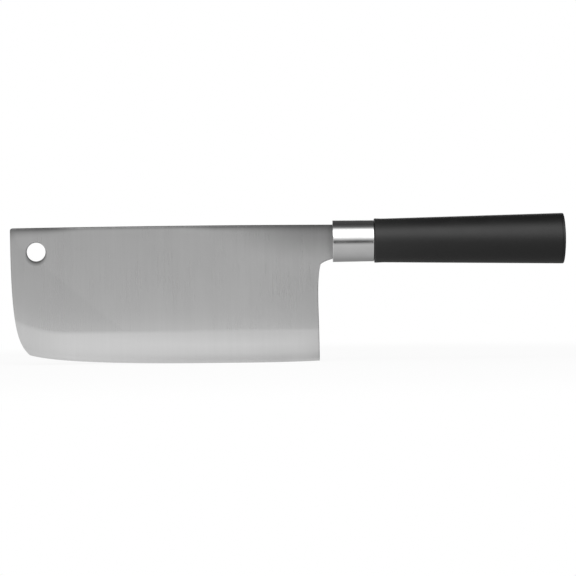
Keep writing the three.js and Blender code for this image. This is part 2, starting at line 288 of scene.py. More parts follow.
# Mouldings with a fine spark-eroded texture and soft clouds of sheen
mouldingLook = {
    "textureTone": 0.15,
    "textureRoughness": 0.03,
    "coarseSize": 4.0,           # against the texture's
    "coarseHeight": 0.6,
    "clouds": (16.0, 11.0, 11.0),
    "cloudTone": 0.06,
    "cloudRoughness": 0.03,
}
gripLook = {
    **mouldingLook,
    "tone": 0.0080,
    "roughness": 0.42,
    "gloss": 0.38,
    "texture": 0.32,
    "textureDepth": 0.02,
    "frontLightShare": 1.6,           # painted light raising the tone at the handle's front, fading over its reach, and painted shade lowering it at the butt
    "frontLightReach": 32.0,
    "rearShadeShare": 0.55,
}


def mouldingFinish(name, look):
    finish, tree, shader = newFinish(name)
    fineSize, coarseSize = look["texture"], look["texture"] * look["coarseSize"]
    texture = spots(tree, (fineSize, fineSize, fineSize), detail=fineDetail)
    coarse = spots(tree, (coarseSize, coarseSize, coarseSize))
    clouds = spots(tree, look["clouds"])
    tone = product(
        tree,
        swing(tree, texture, look["tone"], look["tone"] * look["textureTone"]),
        swing(tree, clouds, 1, look["cloudTone"]),
    )
    # painted light towards the handle's front and painted shade towards the butt
    if "frontLightShare" in look:
        along = partsOf(tree, objectPlace(tree))["X"]
        middle = gripLow.x + look["frontLightReach"] * mm
        tone = product(
            tree,
            tone,
            ranged(tree, along, gripLow.x, middle, look["frontLightShare"], 1),
            ranged(tree, along, middle, capHigh.x, 1, look["rearShadeShare"]),
        )
    rough = total(
        tree,
        swing(tree, clouds, look["roughness"], look["cloudRoughness"]),
        swing(tree, texture, 0, look["textureRoughness"]),
    )
    height = total(tree, texture, calc(tree, "MULTIPLY", coarse, look["coarseHeight"]))
    setSurface(tree, shader, tone, rough, height, look["textureDepth"])
    shader.inputs["Specular IOR Level"].default_value = look["gloss"]
    return finish


# Finishes of the pieces inside the handle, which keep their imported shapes
sealLook = {
    **mouldingLook, "tone": 0.02, "roughness": 0.7, "gloss": 0.3, "texture": 0.5, "textureDepth": 0.03,
}
coreLook = {
    **mouldingLook, "tone": 0.10, "roughness": 0.5, "gloss": 0.45, "texture": 0.4, "textureDepth": 0.015,
}
pinLook = {**ferruleLook, "tone": 0.55, "roughness": 0.28, "lines": (5.0, 0.15, 5.0), "lineDepth": 0.004}


def dressInnerNodes():
    sealRubber = mouldingFinish("sealRubber", sealLook)
    corePlastic = mouldingFinish("corePlastic", coreLook)
    pinSteel = turnedSteelFinish("groundPinSteel", pinLook)
    finishes = {
        "neck_seal": sealRubber,
        "core_half_left": corePlastic,
        "core_half_right": corePlastic,
        "core_pin_front": pinSteel,
        "core_pin_rear": pinSteel,
    }
    for node, finish in finishes.items():
        wear(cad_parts[node], finish)


# Points of a Bezier curve of any degree, as (x, z) rows.
def bezier(points, steps):
    share = np.linspace(0, 1, steps + 1)[:, None]
    rows = [np.array(point, float) + 0 * share for point in points]
    while len(rows) > 1:
        rows = [a + (b - a) * share for a, b in zip(rows, rows[1:])]
    return rows[0]


def arc(centre, radius, start, end, steps):
    angles = np.radians(np.linspace(start, end, steps + 1))
    return np.array(centre) + radius * np.column_stack([np.cos(angles), np.sin(angles)])


def chain(*runs):
    return np.vstack([runs[0]] + [run[1:] for run in runs[1:]])


# Distance from each point to a broken line, and +1 or -1 for the points to its left or right.
def nearLine(points, line):
    run = line[1:] - line[:-1]
    offset = points[:, None] - line[None, :-1]
    share = np.clip((offset * run).sum(2) / (run * run).sum(1), 0, 1)
    gap = offset - share[..., None] * run
    square = (gap * gap).sum(2)
    nearest = square.argmin(1)
    rows = np.arange(len(points))
    back = offset[rows, nearest]
    ahead = run[nearest]
    side = np.where(ahead[:, 0] * back[:, 1] - ahead[:, 1] * back[:, 0] >= 0, 1, -1)
    return np.sqrt(square[rows, nearest]), side


# A line shifted to its left, carried straight on past both ends.
def shifted(line, distance, overrun):
    ahead = np.gradient(line, axis=0)
    ahead = ahead / np.linalg.norm(ahead, axis=1)[:, None]
    moved = line + distance * np.column_stack([-ahead[:, 1], ahead[:, 0]])
    return np.vstack([moved[0] - overrun * ahead[0], moved, moved[-1] + overrun * ahead[-1]])


# A closed ring of points made wider by the same distance all round.
def grown(ring, distance):
    centre = ring[:-1].mean(0)
    return centre + (ring - centre) * (1 + distance / np.linalg.norm(ring[0] - centre))


def insideOf(points, ring):
    x, z = points[:, 0][:, None], points[:, 1][:, None]
    fromX, fromZ = ring[:-1, 0], ring[:-1, 1]
    toX, toZ = np.roll(fromX, -1), np.roll(fromZ, -1)
    spans = (fromZ > z) != (toZ > z)
    rise = np.where(toZ == fromZ, 1, toZ - fromZ)
    crossing = fromX + (z - fromZ) * (toX - fromX) / rise
    return (spans & (x < crossing)).sum(1) % 2 == 1


# 0 below -soft, value itself above +soft, and a smooth bend between.
def softRamp(value, soft):
    bend = (value + soft) ** 2 / (4 * soft)
    return np.where(value <= -soft, 0, np.where(value >= soft, value, bend))


# 1 up to the distance full, and from there falling evenly to 0 at the distance end.
def fading(distance, full, end):
    return np.clip((end - distance) / (end - full), 0, 1)


bladeSizes = {
    "spineFallToNeck": 0.5,      # spine below its crown, at the neck and at the tip
    "spineFallToTip": 0.3,
    "tipTopRadius": 1.6,
    "tipCorner": (10.1, 5.6),    # lower front corner, behind the tip and above the lowest point of the edge
    "frontPull": 47.0,           # how far below the axis the front still aims straight down
    "tipSweep": (6.3, 5.9),      # where the front aims from at that corner, ahead of it and above
    "belly": (18.6, 5.5),        # where the edge aims to at that corner, behind it and below
    "edgeLowSetback": 45.0,      # lowest point of the edge, ahead of the ferrule
    "edgeFlatRun": 45.0,         # how far ahead of that point the edge aims level
    "heelSetback": 7.8,
    "heelRise": 0.65,
    "heelHollow": 0.4,           # how far the back of the heel is hollowed
    "choilHeight": 20.2,         # where the back starts to turn to the choil, below the neck
    "choilCorner": (1.6, 2.8),   # inner corner, behind the hollow and below the neck
    "choilPull": 5.4,            # how far below that corner the back still aims straight up
    "neckSweep": (2.0, 1.7),     # where the neck aims from that corner, behind it and above
    "neckDrop": 9.8,             # lower side of the neck, below the axis
    "neckLength": 3.0,           # from the ferrule's face to the tang's shoulder
    "tangHeight": 12.0,
    "tangTipHeight": 9.0,
    "shoulderFillet": 1.5,
    "grindHeight": 17.5,         # grind line above the lowest point of the edge
    "grindTip": (30.0, 8.0),     # run and rise of the grind line's turn at the tip
    "grindSoft": 1.1,            # half width of the soft grind line
    "grindPastHeel": 4.0,
    "grindLightReach": 16.0,           # stretch above the grind line over which a painted highlight makes the flat lighter
    "edgeHalf": 0.25,            # half thickness that the main bevel leaves at the edge
    "honedHeight": 1.3,
    "honedHalf": 0.12,
    "honedSoft": 0.05,
    "leastHalf": 0.06,
    "holeDiameter": 10.3,
    "holePlace": (14.25, 13.52), # behind the tip and below the crown
    "boreDiameter": 4.3,
    "bores": (34.9, 73.0),
    # how far each rim is eased: across the face, into the thickness, and how softly it starts
    "rims": {
        "spine": (0.60, 0.55, 0.20),
        "front": (0.45, 0.40, 0.5),
        "edge": (0.05, 0.04, 0.3),
        "heel": (0.40, 0.35, 0.5),
        "tang": (0.25, 0.25, 0.3),
        "hole": (0.62, 0.72, 0.10),
        "bore": (0.25, 0.25, 0.3),
    },
    # dull strip below the spine, rougher steel with painted shade in its tone: its depth and strength at
    # places along the blade, from the tip
    "dullShadeStrip": {
        "along": (0.0, 4.0, 22.0, 40.0, 95.0, 112.0, 175.0),
        "depth": (9.0, 6.5, 5.0, 2.4, 2.4, 4.2, 6.0),
        "strength": (0.75, 0.9, 0.94, 0.5, 0.6, 0.85, 0.80),
        "full": 1.0,
    },
    # painted shade: dark crescent below the hole, on slightly rougher steel; it gathers from the sides to
    # the bottom
    "holeShadeMark": {"full": 0.5, "sideReach": 0.8, "lowReach": 2.8, "gather": 0.7},
    # painted shade on the ground bevel: near the edge, and over its whole height at its ends
    "edgeShade": {
        "start": 7.0,
        "full": 2.6,
        "along": (0.0, 14.0, 32.0, 50.0, 83.0, 105.0, 132.0, 150.0, 160.0, 169.0),
        "strength": (0.15, 0.15, 0.20, 0.27, 0.46, 0.55, 0.55, 0.55, 0.55, 0.55),
        "ends": (0.38, 0.28, 0.05, 0.04, 0.04, 0.04, 0.10, 0.20, 0.28, 0.43),
        "honedLift": 0.35,       # share of the painted shade that the honed bevel escapes
    },
    # steps in each stretch of the outline and the rings
    "steps": {
        "straight": 2, "spine": 70, "tipBend": 8, "front": 56, "belly": 60, "edge": 20, "heel": 20,
        "choil": 20, "neck": 12, "fillet": 6, "tang": 8, "tangEnd": 16, "grindTurn": 24,
        "hole": 72, "bore": 32,
    },
    # lines that the faces are split along: shares of an eased rim and of a soft bend, then distances
    "splits": {
        "rim": (0.95, 0.85, 0.5),
        "bend": (-1, -0.5, 0, 0.5, 1),
        "pastRim": 0.3,
        "pastGrind": 0.4,
        "spine": (1.0, 1.6, 2.2, 3.0, 4.0, 5.5),
        "hole": (0.9, 1.3, 1.8, 2.3, 2.8),
        "edge": (2.0, 3.0, 4.2, 5.5),
    },
    "overruns": {"rim": 1.5, "edge": 8.0, "grind": 4.0},  # how far these lines run past their ends
    "gridPitch": 5.0,            # loose points between the lines, and how clear of them these stay
    "gridClear": 3.5,
    "weld": 0.0001,
    "sharpAngle": 60.0,
}


# Side view of the blade as named runs of points that follow each other anticlockwise.
def bladeRuns(sizes):
    steps = sizes["steps"]
    tip, crown, low = alongMm(bladeLow.x), aboveMm(bladeHigh.z), aboveMm(bladeLow.z)
    shoulder = sizes["neckLength"]
    neckTop = crown - sizes["spineFallToNeck"]
    neckLow = -sizes["neckDrop"]
    # the spine and the front share the tip's upper corner
    tipTop = crown - sizes["spineFallToTip"]
    crownPull = crown + (sizes["spineFallToNeck"] + sizes["spineFallToTip"]) / 2
    radius = sizes["tipTopRadius"]
    bend = bezier([(tip + radius, tipTop), (tip, tipTop), (tip, tipTop - radius)], steps["tipBend"])
    shared = steps["tipBend"] // 2
    spine = chain(
        bezier([(shoulder, neckTop), (0, neckTop)], steps["straight"]),
        bezier([(0, neckTop), (tip / 2, crownPull), (tip + radius, tipTop)], steps["spine"]),
        bend[:shared + 1],
    )
    corner = np.array([tip + sizes["tipCorner"][0], low + sizes["tipCorner"][1]])
    sweep = corner + (-sizes["tipSweep"][0], sizes["tipSweep"][1])
    front = chain(
        bend[shared:],
        bezier([(tip, tipTop - radius), (tip, -sizes["frontPull"]), sweep, corner], steps["front"]),
    )
    belly = corner + (sizes["belly"][0], -sizes["belly"][1])
    edgeLow = np.array([-sizes["edgeLowSetback"], low])
    heel = -sizes["heelSetback"]
    heelZ = low + sizes["heelRise"]
    edge = chain(
        bezier([corner, belly, edgeLow - (sizes["edgeFlatRun"], 0), edgeLow], steps["belly"]),
        bezier([edgeLow, ((edgeLow[0] + heel) / 2, low), (heel, heelZ)], steps["edge"]),
    )
    choilLow = neckLow - sizes["choilHeight"]
    hollow = heel - sizes["heelHollow"]
    turnZ = (heelZ + 2 * choilLow) / 3
    inner = np.array([hollow + sizes["choilCorner"][0], neckLow - sizes["choilCorner"][1]])
    heelBack = chain(
        bezier([(heel, heelZ), (heel, turnZ), (hollow, turnZ), (hollow, choilLow)], steps["heel"]),
        bezier([(hollow, choilLow), (hollow, inner[1] - sizes["choilPull"]), inner], steps["choil"]),
        bezier([inner, inner + sizes["neckSweep"], (0, neckLow)], steps["neck"]),
        bezier([(0, neckLow), (shoulder, neckLow)], steps["straight"]),
    )
    tang = tangRun(sizes, neckTop, neckLow)
    return {"spine": spine, "front": front, "edge": edge, "heel": heelBack, "tang": tang}


# From the neck's lower side round the tang to the neck's top.
def tangRun(sizes, neckTop, neckLow):
    steps = sizes["steps"]
    end = alongMm(bladeHigh.x)
    shoulder, fillet = sizes["neckLength"], sizes["shoulderFillet"]
    half, tipHalf = sizes["tangHeight"] / 2, sizes["tangTipHeight"] / 2
    under, beyond = (shoulder, -half - fillet), (shoulder + fillet, -half)  # ends of the fillet
    lower = chain(
        bezier([(shoulder, neckLow), under], steps["straight"]),
        bezier([under, (shoulder, -half), beyond], steps["fillet"]),
        bezier([beyond, (end - tipHalf, -tipHalf)], steps["tang"]),
    )
    upper = (lower * (1, -1))[::-1]
    upper[-1] = (shoulder, neckTop)
    return chain(lower, arc((end - tipHalf, 0), tipHalf, -90, 90, steps["tangEnd"]), upper)


def holeCentre(sizes):
    behind, below = sizes["holePlace"]
    return np.array([alongMm(bladeLow.x) + behind, aboveMm(bladeHigh.z) - below])


# The hanging hole and the two bores for the core's pins, as closed rings.
def bladeRings(sizes):
    steps = sizes["steps"]
    rings = [("hole", arc(holeCentre(sizes), sizes["holeDiameter"] / 2, 0, -360, steps["hole"]))]
    for along in sizes["bores"]:
        rings.append(("bore", arc((along, 0), sizes["boreDiameter"] / 2, 0, -360, steps["bore"])))
    return rings


# Grind line from the heel to the tip, where it turns up.
def grindLine(sizes):
    tip = alongMm(bladeLow.x)
    level = aboveMm(bladeLow.z) + sizes["grindHeight"]
    run, rise = sizes["grindTip"]
    start = -sizes["heelSetback"] + sizes["grindPastHeel"]
    turn = [(tip + run, level), (tip + run / 2, level), (tip, level + rise)]
    line = chain(np.array([(start, level), turn[0]]), bezier(turn, sizes["steps"]["grindTurn"]))
    return shifted(line, 0, sizes["overruns"]["grind"])


# Distances from a rim of the lines that shape its easing.
def rimSplits(sizes, name):
    splits = sizes["splits"]
    reach, _, soft = sizes["rims"][name]
    shares = [*splits["rim"], *(-soft * bend for bend in splits["bend"]), -soft - splits["pastRim"]]
    return [reach * (1 - share) for share in shares]


# Points of all lines that the faces of the blade are split along, and the edges between them.
def splitLines(sizes, runs, rings, grind):
    points, edges = [], []
    splits, overruns = sizes["splits"], sizes["overruns"]

    def addLine(line, closed=False):
        first = len(points)
        points.extend(line[:-1] if closed else line)
        last = len(points) - 1
        edges.extend((i, i + 1) for i in range(first, last))
        if closed:
            edges.append((last, first))

    addLine(chain(*runs.values()), closed=True)
    for name, run in runs.items():
        for away in rimSplits(sizes, name):
            addLine(shifted(run, away, overruns["rim"]))
    for name, ring in rings:
        addLine(ring, closed=True)
        for away in rimSplits(sizes, name):
            addLine(grown(ring, away), closed=True)
    for away in splits["spine"]:
        addLine(shifted(runs["spine"], away, overruns["rim"]))
    for away in splits["hole"]:
        addLine(grown(dict(rings)["hole"], away), closed=True)
    for away in splits["edge"]:
        addLine(shifted(runs["edge"], away, overruns["edge"]))
    soft, past = sizes["grindSoft"], splits["pastGrind"]
    for away in [-soft - past, *(soft * bend for bend in splits["bend"]), soft + past]:
        addLine(shifted(grind, away, 0))
    for side in (-1, 0, 1):
        away = sizes["honedHeight"] + side * sizes["honedSoft"]
        addLine(shifted(runs["edge"], away, overruns["edge"]))
    return points, edges


# Side view as points and triangles, with a loose grid between the lines that keeps the triangles even.
def bladeSheet(sizes, runs, rings, grind):
    outline = chain(*runs.values())
    points, edges = splitLines(sizes, runs, rings, grind)
    across = np.arange(alongMm(bladeLow.x), 0, sizes["gridPitch"])
    up = np.arange(aboveMm(bladeLow.z), aboveMm(bladeHigh.z), sizes["gridPitch"])
    loose = np.column_stack([axis.ravel() for axis in np.meshgrid(across, up)])
    loose = loose[insideOf(loose, outline)]
    for line in (outline, grind, dict(rings)["hole"]):
        loose = loose[nearLine(loose, line)[0] > sizes["gridClear"]]
    points.extend(loose)
    flat, _, faces, _, _, _ = delaunay_2d_cdt([Vector(p) for p in points], edges, [], 0, sizes["weld"])
    flat, faces = np.array(flat), np.array(faces)
    middles = flat[faces].mean(1)
    keep = insideOf(middles, outline)
    for _, ring in rings:
        keep &= ~insideOf(middles, ring)
    used, renumbered = np.unique(faces[keep], return_inverse=True)
    return flat[used], renumbered.reshape(-1, 3)


# How far each rim is eased at each point: 1 at the rim, falling to 0.
def rimEases(sizes, flat, rims):
    eases = []
    for name, rim in rims:
        reach, _, soft = sizes["rims"][name]
        away, _ = nearLine(flat, rim)
        eases.append((name, softRamp(1 - away / reach, soft)))
    return eases


# Half thickness at each point: the ground bevel, the honed bevel, then the eased rims.
def halfThickness(sizes, below, toEdge, eases):
    half = bladeHigh.y / mm
    slope = (half - sizes["edgeHalf"]) / sizes["grindHeight"]
    thick = half - slope * softRamp(below, sizes["grindSoft"])
    honedTop = sizes["edgeHalf"] + slope * sizes["honedHeight"]
    honedSlope = (honedTop - sizes["honedHalf"]) / sizes["honedHeight"]
    thick = np.minimum(thick, sizes["honedHalf"] + honedSlope * toEdge)
    cut = np.max([sizes["rims"][name][1] * eased for name, eased in eases], axis=0)
    return np.maximum(thick - cut, sizes["leastHalf"])


# Strength of the painted dark crescent below the hole.
def holeShadeCrescent(sizes, flat):
    mark = sizes["holeShadeMark"]
    fromHole = flat - holeCentre(sizes)
    outside = np.linalg.norm(fromHole, axis=1)
    down = np.clip(-fromHole[:, 1] / outside, 0, 1)
    reach = mark["sideReach"] + (mark["lowReach"] - mark["sideReach"]) * down
    return fading(outside - sizes["holeDiameter"] / 2, mark["full"], reach) * down ** mark["gather"]


# Where the blade's finish changes and where painted light and shade fall, from 0 to 1 at each point.
def bladeMasks(sizes, flat, spine, below, toEdge, eases):
    strip, edgeShading = sizes["dullShadeStrip"], sizes["edgeShade"]
    honedHeight, honedSoft = sizes["honedHeight"], sizes["honedSoft"]
    fromTip = flat[:, 0] - alongMm(bladeLow.x)
    ground = np.clip(below / (2 * sizes["grindSoft"]) + 0.5, 0, 1)
    honed = fading(toEdge, honedHeight - honedSoft, honedHeight + honedSoft)
    worn = np.max([np.clip(eased, 0, 1) for name, eased in eases if name != "spine"], axis=0)
    underSpine, _ = nearLine(flat, spine)
    # dull strip under the spine: rougher steel, and painted shade standing in for a dark reflection
    stripDepth = np.interp(fromTip, strip["along"], strip["depth"])
    dullAndShade = fading(underSpine, strip["full"], stripDepth) ** 2
    dullAndShade = dullAndShade * np.interp(fromTip, strip["along"], strip["strength"])
    dullAndShade = np.maximum(dullAndShade, holeShadeCrescent(sizes, flat))
    # painted highlight on the flat, growing towards the grind line
    leadLight = np.clip(1 + below / sizes["grindLightReach"], 0, 1) ** 2
    # painted shade on the ground bevel near the edge and at its ends
    bevelShade = fading(toEdge, edgeShading["full"], edgeShading["start"])
    bevelShade = bevelShade * np.interp(fromTip, edgeShading["along"], edgeShading["strength"])
    bevelShade = np.clip(bevelShade + ground * np.interp(fromTip, edgeShading["along"], edgeShading["ends"]), 0, 1)
    bevelShade = bevelShade * (1 - edgeShading["honedLift"] * honed)
    return {"ground": ground, "honed": honed, "worn": worn, "dullAndShade": dullAndShade, "leadLight": leadLight, "bevelShade": bevelShade}


def makeBlade(finish):
    sizes = bladeSizes
    runs, rings, grind = bladeRuns(sizes), bladeRings(sizes), grindLine(sizes)
    flat, faces = bladeSheet(sizes, runs, rings, grind)
    away, side = nearLine(flat, grind)
    below = away * side                  # negative above the grind line
    toEdge, _ = nearLine(flat, shifted(runs["edge"], 0, sizes["overruns"]["edge"]))
    eases = rimEases(sizes, flat, [*runs.items(), *rings])
    thick = halfThickness(sizes, below, toEdge, eases)
    masks = bladeMasks(sizes, flat, runs["spine"], below, toEdge, eases)
    # both faces and the wall round their rims
    count = len(flat)
    place = np.column_stack([ferruleLow.x + flat[:, 0] * mm, thick * mm, handleAxis + flat[:, 1] * mm])
    verts = np.vstack([place * (1, -1, 1), place])
    near, far = faces.tolist(), (faces[:, ::-1] + count).tolist()
    sides = set()
    for a, b, c in near:
        sides.update(((a, b), (b, c), (c, a)))
    walls = [(a, a + count, b + count, b) for a, b in sides if (b, a) not in sides]
    mesh = bpy.data.meshes.new("cleaver_blade")
    mesh.from_pydata(verts.tolist(), [], near + far + walls)
    for name, values in masks.items():
        layer = mesh.attributes.new(name, "FLOAT", "POINT")
        layer.data.foreach_set("value", np.tile(values, 2).astype(np.float32))
    mesh.materials.append(finish)
    mesh.shade_smooth()
    mesh.set_sharp_from_angle(angle=math.radians(sizes["sharpAngle"]))
    return addObject("cleaver_blade", mesh)


# Shape trees: named inputs first, then the shape, made real and given its finish.

def newShapeTree(name, wanted):
    tree = bpy.data.node_groups.new(name, "GeometryNodeTree")
    sockets = {}
    for label, kind in wanted.items():
        sockets[label] = tree.interface.new_socket(label, in_out="INPUT", socket_type=kind).identifier
    tree.interface.new_socket("Piece", in_out="OUTPUT", socket_type="NodeSocketGeometry")
    return tree, sockets, addNode(tree, "NodeGroupInput").outputs


def endShapeTree(tree, shape, finish):
    plain = addNode(tree, "GeometryNodeRealizeInstances", {"Geometry": shape}).outputs["Geometry"]
    paint = addNode(tree, "GeometryNodeSetMaterial", {"Geometry": plain, "Material": finish})
    addNode(tree, "NodeGroupOutput", {"Piece": paint.outputs["Geometry"]})


turnedSizes = {
    "sides": 128,
    "cornerSteps": 6,
    "cornerSupport": 0.12,
    "weld": 0.001,
    "seam": 0.0001,
    "sharpAngle": 32.0,
}


# Runs a tree on a piece and leaves a plain mesh, closed, facing outwards and without the modifier.
def shapePiece(piece, tree, sockets, settings):
    modifier = piece.modifiers.new(tree.name, "NODES")
    modifier.node_group = tree
    for label, value in settings.items():
        modifier[sockets[label]] = value
    graph = bpy.context.evaluated_depsgraph_get()
    mesh = bpy.data.meshes.new_from_object(piece.evaluated_get(graph))
    piece.modifiers.clear()
    piece.data = mesh
    mesh.name = piece.name
    work = bmesh.new()
    work.from_mesh(mesh)
    bmesh.ops.remove_doubles(work, verts=work.verts, dist=turnedSizes["seam"] * mm)
    bmesh.ops.recalc_face_normals(work, faces=work.faces)
    for face in work.faces:
        face.material_index = 0
    work.to_mesh(mesh)
    work.free()
    wear(piece, settings["Finish"])
    mesh.shade_smooth()
    mesh.set_sharp_from_angle(angle=math.radians(turnedSizes["sharpAngle"]))
    return piece


# Carries a profile of (x, 0, radius) points round the handle axis.
def turnedTree():
    tree, sockets, given = newShapeTree("turnedPiece", {
        "Profile": "NodeSocketGeometry",
        "Sides": "NodeSocketInt",
        "Axis Height": "NodeSocketFloat",
        "Weld": "NodeSocketFloat",
        "Finish": "NodeSocketMaterial",
    })
    profile = given["Profile"]
    count = addNode(tree, "GeometryNodeAttributeDomainSize", {"Geometry": profile}, component="MESH")
    rings = calc(tree, "ADD", given["Sides"], 1)  # the last ring meets the first
    wires = {"Vertices X": count.outputs["Point Count"], "Vertices Y": rings}
    grid = addNode(tree, "GeometryNodeMeshGrid", wires)
    index = addNode(tree, "GeometryNodeInputIndex").outputs[0]
    row = calc(tree, "FLOOR", calc(tree, "DIVIDE", calc(tree, "ADD", index, 0.5), rings))
    column = calc(tree, "SUBTRACT", index, calc(tree, "MULTIPLY", row, rings))
    turn = calc(tree, "DIVIDE", calc(tree, "MULTIPLY", column, math.tau), given["Sides"])
    sample = addNode(tree, "GeometryNodeSampleIndex", {
        "Geometry": profile,
        "Value": addNode(tree, "GeometryNodeInputPosition").outputs[0],
        "Index": row,
    }, data_type="FLOAT_VECTOR", domain="POINT")
    parts = partsOf(tree, sample.outputs[0])
    lift = calc(tree, "MULTIPLY", parts["Z"], calc(tree, "COSINE", turn))
    place = addNode(tree, "ShaderNodeCombineXYZ", {
        "X": parts["X"],
        "Y": calc(tree, "MULTIPLY", parts["Z"], calc(tree, "SINE", turn)),
        "Z": calc(tree, "ADD", lift, given["Axis Height"]),
    })
    wires = {"Geometry": grid.outputs["Mesh"], "Position": place.outputs[0]}
    move = addNode(tree, "GeometryNodeSetPosition", wires)
    wires = {"Geometry": move.outputs["Geometry"], "Distance": given["Weld"]}
    weld = addNode(tree, "GeometryNodeMergeByDistance", wires)
    endShapeTree(tree, weld.outputs["Geometry"], given["Finish"])
    return tree, sockets


# Corners of (x, radius, rounding) as a profile with arcs, and a support point on both sides of each arc.
def roundedProfile(corners, closed=False):
    profile = []
    count = len(corners)
    support = turnedSizes["cornerSupport"]
    for i, (x, radius, rounding) in enumerate(corners):
        here = np.array([x, radius])
        isEnd = not closed and i in (0, count - 1)
        if isEnd or rounding == 0:
            profile.append(here)
            continue
        before = np.array(corners[i - 1][:2]) - here
        after = np.array(corners[(i + 1) % count][:2]) - here
        before, after = before / np.linalg.norm(before), after / np.linalg.norm(after)
        opening = math.acos(np.clip(before @ after, -1, 1)) / 2
        reach = rounding / math.tan(opening)
        middle = (before + after) / np.linalg.norm(before + after)
        centre = here + middle * rounding / math.sin(opening)
        start, end = here + before * reach - centre, here + after * reach - centre
        sweep = math.atan2(start[0] * end[1] - start[1] * end[0], start @ end)
        profile.append(here + before * (reach + support))
        for share in np.linspace(0, 1, turnedSizes["cornerSteps"] + 1):
            c, s = math.cos(sweep * share), math.sin(sweep * share)
            profile.append(centre + (start[0] * c - start[1] * s, start[0] * s + start[1] * c))
        profile.append(here + after * (reach + support))
    if closed:
        profile.append(profile[0])
    return profile


turner, turnerSockets = turnedTree()


def turnPiece(name, profile, finish):
    mesh = bpy.data.meshes.new(name)
    mesh.from_pydata([(ferruleLow.x + x * mm, 0, radius * mm) for x, radius in profile], [], [])
    return shapePiece(addObject(name, mesh), turner, turnerSockets, {
        "Sides": turnedSizes["sides"],
        "Axis Height": handleAxis,
        "Weld": turnedSizes["weld"] * mm,
        "Finish": finish,
    })


ferruleSizes = {
    "wall": 0.8,
    "face": 1.0,
    "taper": 0.15,               # how much less the radius is at the rear
    "frontRounding": 0.18,
    "rearRounding": 0.22,
    "lipRounding": 0.15,
    "floorRounding": 0.5,
    "slotGap": 0.25,             # room round the neck
    "slotPast": 0.5,             # how far the cut runs past the face
}


def makeFerrule(finish):
    sizes = ferruleSizes
    length = alongMm(ferruleHigh.x)
    front = (ferruleHigh.z - ferruleLow.z) / 2 / mm
    rear = front - sizes["taper"]
    bore = rear - sizes["wall"]
    profile = roundedProfile([
        (0, 0, 0),
        (0, front, sizes["frontRounding"]),
        (length, rear, sizes["rearRounding"]),
        (length, bore, sizes["lipRounding"]),
        (sizes["face"], bore, sizes["floorRounding"]),
        (sizes["face"], 0, 0),
    ])
    return cutNeckSlot(turnPiece("cleaver_ferrule", profile, finish), finish)


def slotTree():
    tree, sockets, given = newShapeTree("neckSlot", {
        "Cup": "NodeSocketGeometry",
        "Slot Size": "NodeSocketVector",
        "Slot Place": "NodeSocketVector",
        "Finish": "NodeSocketMaterial",
    })
    block = addNode(tree, "GeometryNodeMeshCube", {"Size": given["Slot Size"]})
    wires = {"Geometry": block.outputs["Mesh"], "Translation": given["Slot Place"]}
    shift = addNode(tree, "GeometryNodeTransform", wires)
    cut = addNode(tree, "GeometryNodeMeshBoolean", operation="DIFFERENCE", solver="EXACT")
    feed(tree, cut.inputs["Mesh 1"], given["Cup"])
    feed(tree, cut.inputs["Mesh 2"], shift.outputs["Geometry"])
    endShapeTree(tree, cut.outputs["Mesh"], given["Finish"])
    return tree, sockets


# Slot in the ferrule's face that the neck of the blade goes through.
def cutNeckSlot(piece, finish):
    gap = ferruleSizes["slotGap"]
    neckTop = aboveMm(bladeHigh.z) - bladeSizes["spineFallToNeck"] + gap
    neckLow = -bladeSizes["neckDrop"] - gap
    deep = 2 * (ferruleSizes["face"] + ferruleSizes["slotPast"])
    return shapePiece(piece, *slotTree(), {
        "Slot Size": (deep * mm, 2 * (bladeHigh.y + gap * mm), (neckTop - neckLow) * mm),
        "Slot Place": (ferruleLow.x, 0, handleAxis + (neckTop + neckLow) / 2 * mm),
        "Finish": finish,
    })


gripSizes = {
    "frontRadius": 12.05,
    "lipHeight": 0.15,           # how far the lip stands proud of it
    "lipLength": 5.0,
    "lipRounding": 0.45,
    "lipBlend": 70.0,            # radius of the soft bend behind the lip
    "seamRounding": 0.1,
    "boreRadius": 8.8,
    "socketRadius": 10.2,        # socket for the cap's spigot
    "socketDepth": 9.0,
    "innerRounding": 0.2,
    "ribCount": 3,               # ribs of the core, each in a groove of the bore
    "ribFront": 45.95,
    "ribPitch": 8.0,
    "grooveWidth": 3.6,
    "grooveHeight": 0.6,
    "grooveFlank": 0.6,
    "grooveRounding": 0.1,
}


def makeGrip(finish):
    sizes = gripSizes
    front, seam = alongMm(gripLow.x), alongMm(gripHigh.x)
    rearRadius = (gripHigh.z - gripLow.z) / 2 / mm
    radius, bore, socket = sizes["frontRadius"], sizes["boreRadius"], sizes["socketRadius"]
    inner = sizes["innerRounding"]
    corners = [
        (front, radius + sizes["lipHeight"], sizes["lipRounding"]),
        (front + sizes["lipLength"], radius, sizes["lipBlend"]),
        (seam, rearRadius, sizes["seamRounding"]),
        (seam, socket, inner),
        (seam - sizes["socketDepth"], socket, inner),
        (seam - sizes["socketDepth"], bore, inner),
    ]
    # grooves that the core's ribs key into, from the butt to the front
    floor, flank, rounding = bore + sizes["grooveHeight"], sizes["grooveFlank"], sizes["grooveRounding"]
    for i in reversed(range(sizes["ribCount"])):
        middle = sizes["ribFront"] + i * sizes["ribPitch"]
        near, far = middle - sizes["grooveWidth"] / 2, middle + sizes["grooveWidth"] / 2
        for x, r in ((far, bore), (far - flank, floor), (near + flank, floor), (near, bore)):
            corners.append((x, r, rounding))
    corners.append((front, bore, inner))
    return turnPiece("cleaver_grip", roundedProfile(corners, closed=True), finish)


